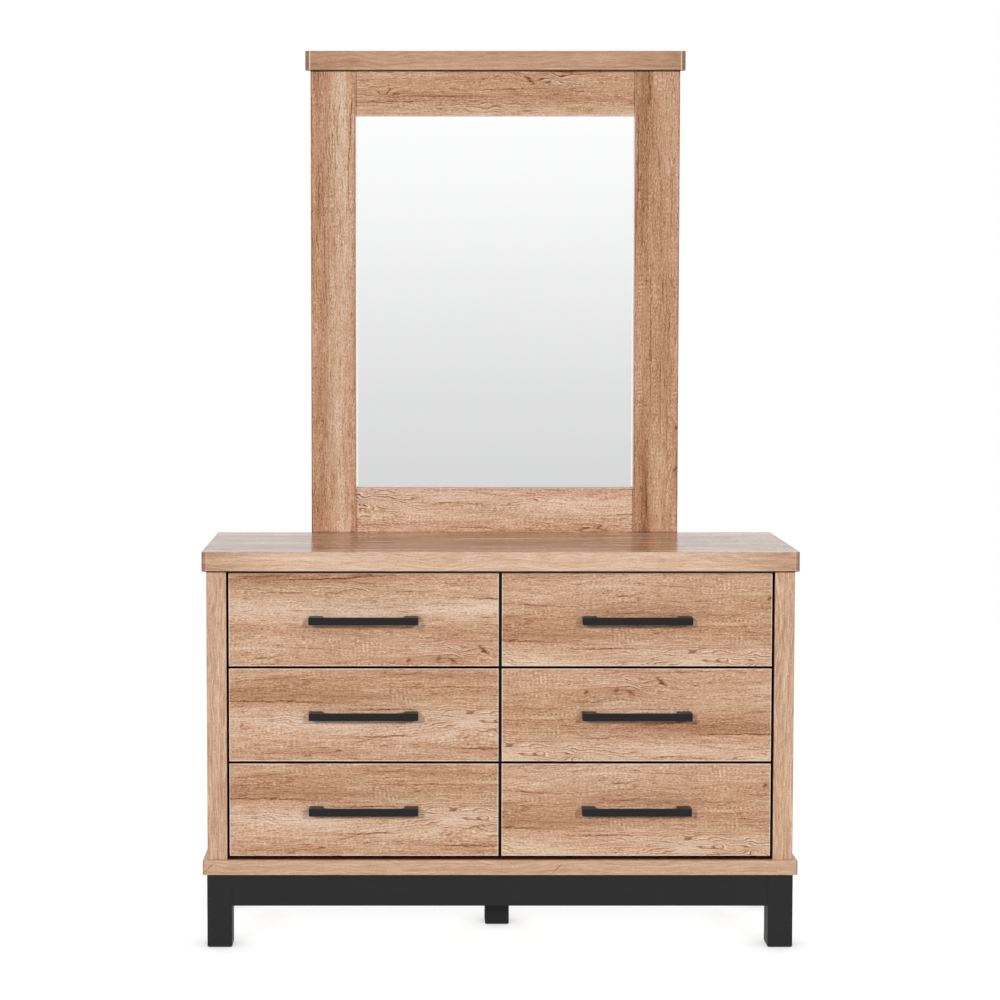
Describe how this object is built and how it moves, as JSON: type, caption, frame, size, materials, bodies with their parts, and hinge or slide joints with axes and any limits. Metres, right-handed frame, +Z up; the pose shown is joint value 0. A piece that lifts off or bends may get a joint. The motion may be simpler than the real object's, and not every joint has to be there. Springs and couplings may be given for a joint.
{
  "type": "dresser with mirror",
  "caption": "Low dresser with two columns of sliding drawers on a black leg base, and a tall framed mirror standing on its back edge.",
  "frame": {"origin": "on the floor, under the middle of the whole object's box", "axes": "+Z up, +X to the right of a person who faces the drawers, -Y the way the drawers open"},
  "size_m": [1.2, 0.43, 1.84],
  "materials": {
    "oak_smooth": "light oak laminate with fine straight grain, satin, edge-banded",
    "oak_rustic": "light rustic oak laminate with saw marks, knots and broad bands, satin",
    "black_lacquer": "wood with matte black lacquer",
    "black_metal": "die-cast metal with matte black powder coat",
    "box_board": "pale melamine-faced board",
    "hardboard": "hardboard, brown and slightly mottled",
    "raw_batten": "plain softwood, planed",
    "runner_steel": "steel with off-white epoxy coat",
    "zinc_steel": "zinc-plated steel",
    "mirror": "silvered float glass with a bevelled edge",
    "pad_plastic": "black polyethylene",
    "beech": "beech dowel"
  },
  "bodies": {
    "cabinet": {"back_panel": "hardboard", "base_back_rail": "black_lacquer", "base_front_rail": "black_lacquer", "base_legs": "black_lacquer", "base_short_rails": "black_lacquer", "cabinet_runners": "runner_steel", "centre_divider": "oak_smooth", "leg_pads": "pad_plastic", "mirror_backing_board": "hardboard", "mirror_battens": "raw_batten", "mirror_bottom_rail": "oak_rustic", "mirror_cap": "oak_smooth", "mirror_glass": "mirror", "mirror_stile_left": "oak_rustic", "mirror_stile_right": "oak_rustic", "mirror_top_rail": "oak_rustic", "panel_pins": "zinc_steel", "plinth_board": "oak_smooth", "rear_stretchers": "oak_smooth", "side_panel_left": "oak_smooth", "side_panel_right": "oak_smooth", "top_board": "oak_smooth", "wood_dowels": "beech", "wood_screws": "zinc_steel"},
    "drawer_bottom_left": {"drawer_bottom_left_back": "box_board", "drawer_bottom_left_bottom": "box_board", "drawer_bottom_left_front": "oak_rustic", "drawer_bottom_left_handle": "black_metal", "drawer_bottom_left_runners": "runner_steel", "drawer_bottom_left_sides": "box_board"},
    "drawer_bottom_right": {"drawer_bottom_right_back": "box_board", "drawer_bottom_right_bottom": "box_board", "drawer_bottom_right_front": "oak_rustic", "drawer_bottom_right_handle": "black_metal", "drawer_bottom_right_runners": "runner_steel", "drawer_bottom_right_sides": "box_board"},
    "drawer_middle_left": {"drawer_middle_left_back": "box_board", "drawer_middle_left_bottom": "box_board", "drawer_middle_left_front": "oak_rustic", "drawer_middle_left_handle": "black_metal", "drawer_middle_left_runners": "runner_steel", "drawer_middle_left_sides": "box_board"},
    "drawer_middle_right": {"drawer_middle_right_back": "box_board", "drawer_middle_right_bottom": "box_board", "drawer_middle_right_front": "oak_rustic", "drawer_middle_right_handle": "black_metal", "drawer_middle_right_runners": "runner_steel", "drawer_middle_right_sides": "box_board"},
    "drawer_top_left": {"drawer_top_left_back": "box_board", "drawer_top_left_bottom": "box_board", "drawer_top_left_front": "oak_rustic", "drawer_top_left_handle": "black_metal", "drawer_top_left_runners": "runner_steel", "drawer_top_left_sides": "box_board"},
    "drawer_top_right": {"drawer_top_right_back": "box_board", "drawer_top_right_bottom": "box_board", "drawer_top_right_front": "oak_rustic", "drawer_top_right_handle": "black_metal", "drawer_top_right_runners": "runner_steel", "drawer_top_right_sides": "box_board"}
  },
  "joints": [
    {"name": "drawer_bottom_left_slide", "type": "slide", "parent": "cabinet", "child": "drawer_bottom_left", "axis": [0, -1, 0], "range_m": [0, 0.26]},
    {"name": "drawer_bottom_right_slide", "type": "slide", "parent": "cabinet", "child": "drawer_bottom_right", "axis": [0, -1, 0], "range_m": [0, 0.26]},
    {"name": "drawer_middle_left_slide", "type": "slide", "parent": "cabinet", "child": "drawer_middle_left", "axis": [0, -1, 0], "range_m": [0, 0.26]},
    {"name": "drawer_middle_right_slide", "type": "slide", "parent": "cabinet", "child": "drawer_middle_right", "axis": [0, -1, 0], "range_m": [0, 0.26]},
    {"name": "drawer_top_left_slide", "type": "slide", "parent": "cabinet", "child": "drawer_top_left", "axis": [0, -1, 0], "range_m": [0, 0.26]},
    {"name": "drawer_top_right_slide", "type": "slide", "parent": "cabinet", "child": "drawer_top_right", "axis": [0, -1, 0], "range_m": [0, 0.26]}
  ]
}
